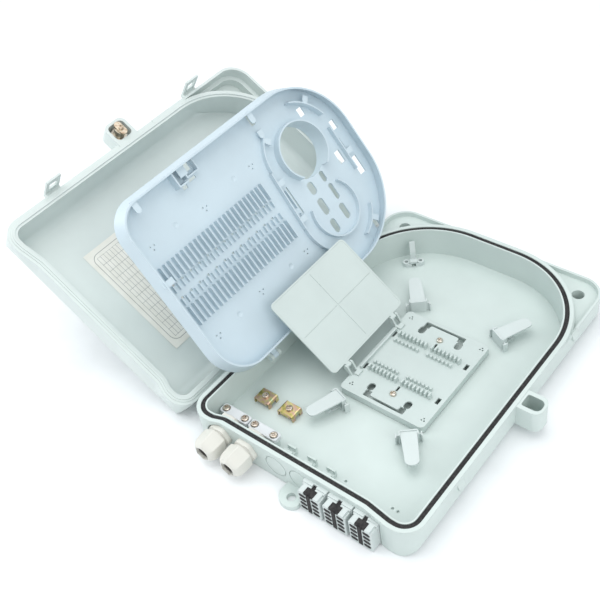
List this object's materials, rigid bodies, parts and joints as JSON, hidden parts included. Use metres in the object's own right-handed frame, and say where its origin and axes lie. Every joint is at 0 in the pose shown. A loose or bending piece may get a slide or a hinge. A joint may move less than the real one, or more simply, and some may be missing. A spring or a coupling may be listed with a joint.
{
  "type": "fiber termination box",
  "caption": "Wall-mounted fibre termination box with hinged lid, swing-out adapter tray, splice tray with lift-up cover, cable glands and drop-cable ports.",
  "frame": {"origin": "centre of the base's flat back, on its wall face", "axes": "+Z out of the box from the wall, +Y towards the end with the two mounting ears, +X towards the lock side"},
  "size_m": [0.5504, 0.3896, 0.2105],
  "materials": {
    "grey_plastic": "fine moulded satin",
    "blue_plastic": "smooth moulded",
    "cover_plastic": "smooth moulded",
    "clip_plastic": "smooth moulded",
    "white_plastic": "smooth moulded",
    "ivory_plastic": "smooth moulded",
    "seal_rubber": "matt",
    "yellow_zinc": "yellow passivated zinc",
    "brass_screw": "machined",
    "steel": "nickel plated",
    "label_paper": "printed paper"
  },
  "bodies": {
    "base": {"base_shell": "grey_plastic", "base_seal": "seal_rubber", "hinge_pins": "steel", "splice_tray": "grey_plastic", "splice_tray_screws": "brass_screw", "fibre_retainer_1": "clip_plastic", "fibre_retainer_2": "clip_plastic", "fibre_retainer_3": "clip_plastic", "fibre_retainer_4": "clip_plastic", "cable_hook": "grey_plastic", "cable_clamp_1": "yellow_zinc", "cable_clamp_2": "yellow_zinc", "cable_clamp_screws": "steel", "strain_bar_1": "white_plastic", "strain_bar_2": "white_plastic", "strain_bar_screws": "steel", "gland_body_1": "ivory_plastic", "gland_body_2": "ivory_plastic", "gland_locknut_1": "ivory_plastic", "gland_locknut_2": "ivory_plastic", "gland_seal_1": "seal_rubber", "gland_seal_2": "seal_rubber", "drop_port_1": "grey_plastic", "drop_port_2": "grey_plastic", "drop_port_3": "grey_plastic", "drop_port_seal_1": "seal_rubber", "drop_port_seal_2": "seal_rubber", "drop_port_seal_3": "seal_rubber"},
    "lid": {"lid_shell": "grey_plastic", "contents_label": "label_paper", "lock_washer": "steel", "lock_nut": "steel"},
    "lock": {"lock_barrel": "steel", "lock_cam": "brass_screw", "lock_screw": "steel"},
    "tray": {"adapter_tray": "blue_plastic"},
    "cover": {"splice_cover": "cover_plastic"},
    "gland_nut_left": {"gland_nut_1": "ivory_plastic"},
    "gland_nut_right": {"gland_nut_2": "ivory_plastic"}
  },
  "joints": [
    {"name": "lid_hinge", "type": "hinge", "parent": "base", "child": "lid", "pos_m": [-0.1345, 0, 0.029], "axis": [0, 1, 0], "range_deg": [0, 147]},
    {"name": "tray_hinge", "type": "hinge", "parent": "base", "child": "tray", "pos_m": [-0.108, 0, 0.031], "axis": [0, 1, 0], "range_deg": [0, 127]},
    {"name": "cover_hinge", "type": "hinge", "parent": "base", "child": "cover", "pos_m": [-0.042, 0, 0.02], "axis": [0, 1, 0], "range_deg": [0, 142]},
    {"name": "lock_turn", "type": "hinge", "parent": "lid", "child": "lock", "pos_m": [-0.37745, 0.002, 0.16531], "axis": [-0.5446, 0, -0.8387], "range_deg": [0, 90]},
    {"name": "gland_nut_left_turn", "type": "hinge", "parent": "base", "child": "gland_nut_left", "pos_m": [-0.094, -0.195, 0.02], "axis": [0, -1, 0], "range_deg": [-180, 180]},
    {"name": "gland_nut_right_turn", "type": "hinge", "parent": "base", "child": "gland_nut_right", "pos_m": [-0.061, -0.195, 0.02], "axis": [0, -1, 0], "range_deg": [-180, 180]}
  ],
  "couplings": [
    {"joint": "tray_hinge", "follows": "lid_hinge", "ratio": 0.86394},
    {"joint": "cover_hinge", "follows": "lid_hinge", "ratio": 0.96598}
  ]
}
